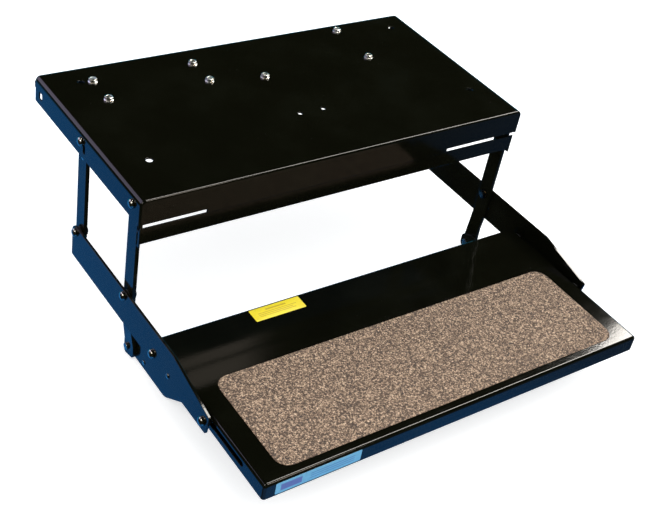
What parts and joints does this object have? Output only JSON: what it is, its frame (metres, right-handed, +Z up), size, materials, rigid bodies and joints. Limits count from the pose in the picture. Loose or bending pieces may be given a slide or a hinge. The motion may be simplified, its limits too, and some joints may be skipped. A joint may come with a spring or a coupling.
{
  "type": "fold-out entry step",
  "caption": "Powered fold-out vehicle entry step: flanged deck, swinging arms, tapered side rails and a sliding tread with a grit pad.",
  "frame": {"origin": "centre of the deck's top mounting face", "axes": "+Z up out of the mounting face, -Y towards the person stepping up, +X to the right seen from the front with -Y towards the viewer"},
  "size_m": [0.627, 0.6248, 0.2665],
  "materials": {
    "black_coat": "gloss powder coat",
    "motor_paint": "satin paint",
    "cast_case": "as cast",
    "dark_plastic": "moulded",
    "nylon": "black nylon",
    "bronze": "sintered bronze",
    "grit": "speckled anti-slip grit",
    "yellow_label": "printed vinyl",
    "blue_label": "printed vinyl",
    "bright_zinc": "bright zinc plate",
    "dark_zinc": "black zinc plate"
  },
  "bodies": {
    "deck": {"control_box": "dark_plastic", "control_bracket": "black_coat", "control_lid": "dark_plastic", "control_socket": "dark_plastic", "deck_bolts": "bright_zinc", "deck_nuts": "bright_zinc", "deck_pivot_bolts": "dark_zinc", "deck_pivot_nuts": "dark_zinc", "deck_pivot_washers": "nylon", "deck_plate": "black_coat", "gear_case": "cast_case", "gear_case_screws": "dark_zinc", "motor": "motor_paint", "motor_bracket": "black_coat", "motor_end_cap": "cast_case"},
    "front_arms": {"front_arm_left": "black_coat", "front_arm_right": "black_coat", "front_arm_bushes": "bronze", "cross_panel": "black_coat", "lower_pins": "dark_zinc"},
    "rear_arms": {"rear_arm_left": "black_coat", "rear_arm_right": "black_coat", "rear_arm_bushes": "bronze", "drive_pin": "dark_zinc"},
    "rails": {"rail_left": "black_coat", "rail_right": "black_coat", "rail_rivets": "dark_zinc", "rail_studs": "dark_zinc", "rail_pivot_bolts": "dark_zinc", "rail_spacers": "nylon", "rail_pivot_nuts": "dark_zinc", "guide_bolts": "dark_zinc", "guide_sleeves": "nylon", "guide_washers": "dark_zinc", "guide_nuts": "dark_zinc"},
    "tread": {"tread_pan": "black_coat", "grit_pad": "grit", "hazard_label": "yellow_label", "rating_label": "blue_label", "tread_pins": "dark_zinc"},
    "drag_links": {"drag_link_left": "black_coat", "drag_link_right": "black_coat", "drag_link_rivets": "dark_zinc", "tread_pin_caps": "dark_zinc"},
    "crank": {"output_shaft": "dark_zinc", "crank": "dark_zinc", "crank_pin": "dark_zinc"},
    "drive_link": {"drive_link": "dark_zinc"}
  },
  "joints": [
    {"name": "step_swing", "type": "hinge", "parent": "deck", "child": "front_arms", "pos_m": [0, -0.1351, -0.015], "axis": [1, 0, 0], "range_deg": [0, 70]},
    {"name": "rear_arm_swing", "type": "hinge", "parent": "deck", "child": "rear_arms", "pos_m": [0, 0.0069, -0.015], "axis": [1, 0, 0], "range_deg": [0, 70]},
    {"name": "rail_level", "type": "hinge", "parent": "front_arms", "child": "rails", "pos_m": [0, -0.1351, -0.158], "axis": [1, 0, 0], "range_deg": [-70, 0]},
    {"name": "tread_slide", "type": "slide", "parent": "rails", "child": "tread", "axis": [0, 1, 0], "range_m": [0, 0.076]},
    {"name": "drag_link_swing", "type": "hinge", "parent": "front_arms", "child": "drag_links", "pos_m": [0, -0.1331, -0.25], "axis": [1, 0, 0], "range_deg": [-51, 0]},
    {"name": "crank_turn", "type": "hinge", "parent": "deck", "child": "crank", "pos_m": [0, 0.0899, -0.02], "axis": [1, 0, 0], "range_deg": [0, 70]},
    {"name": "drive_link_level", "type": "hinge", "parent": "crank", "child": "drive_link", "pos_m": [0, 0.0899, -0.045], "axis": [1, 0, 0], "range_deg": [-70, 0]}
  ],
  "couplings": [
    {"joint": "rear_arm_swing", "follows": "step_swing", "ratio": 1},
    {"joint": "rail_level", "follows": "step_swing", "ratio": -1},
    {"joint": "tread_slide", "follows": "step_swing", "m_per_rad": 0.06175},
    {"joint": "drag_link_swing", "follows": "step_swing", "ratio": -0.7269},
    {"joint": "crank_turn", "follows": "step_swing", "ratio": 1},
    {"joint": "drive_link_level", "follows": "step_swing", "ratio": -1}
  ]
}
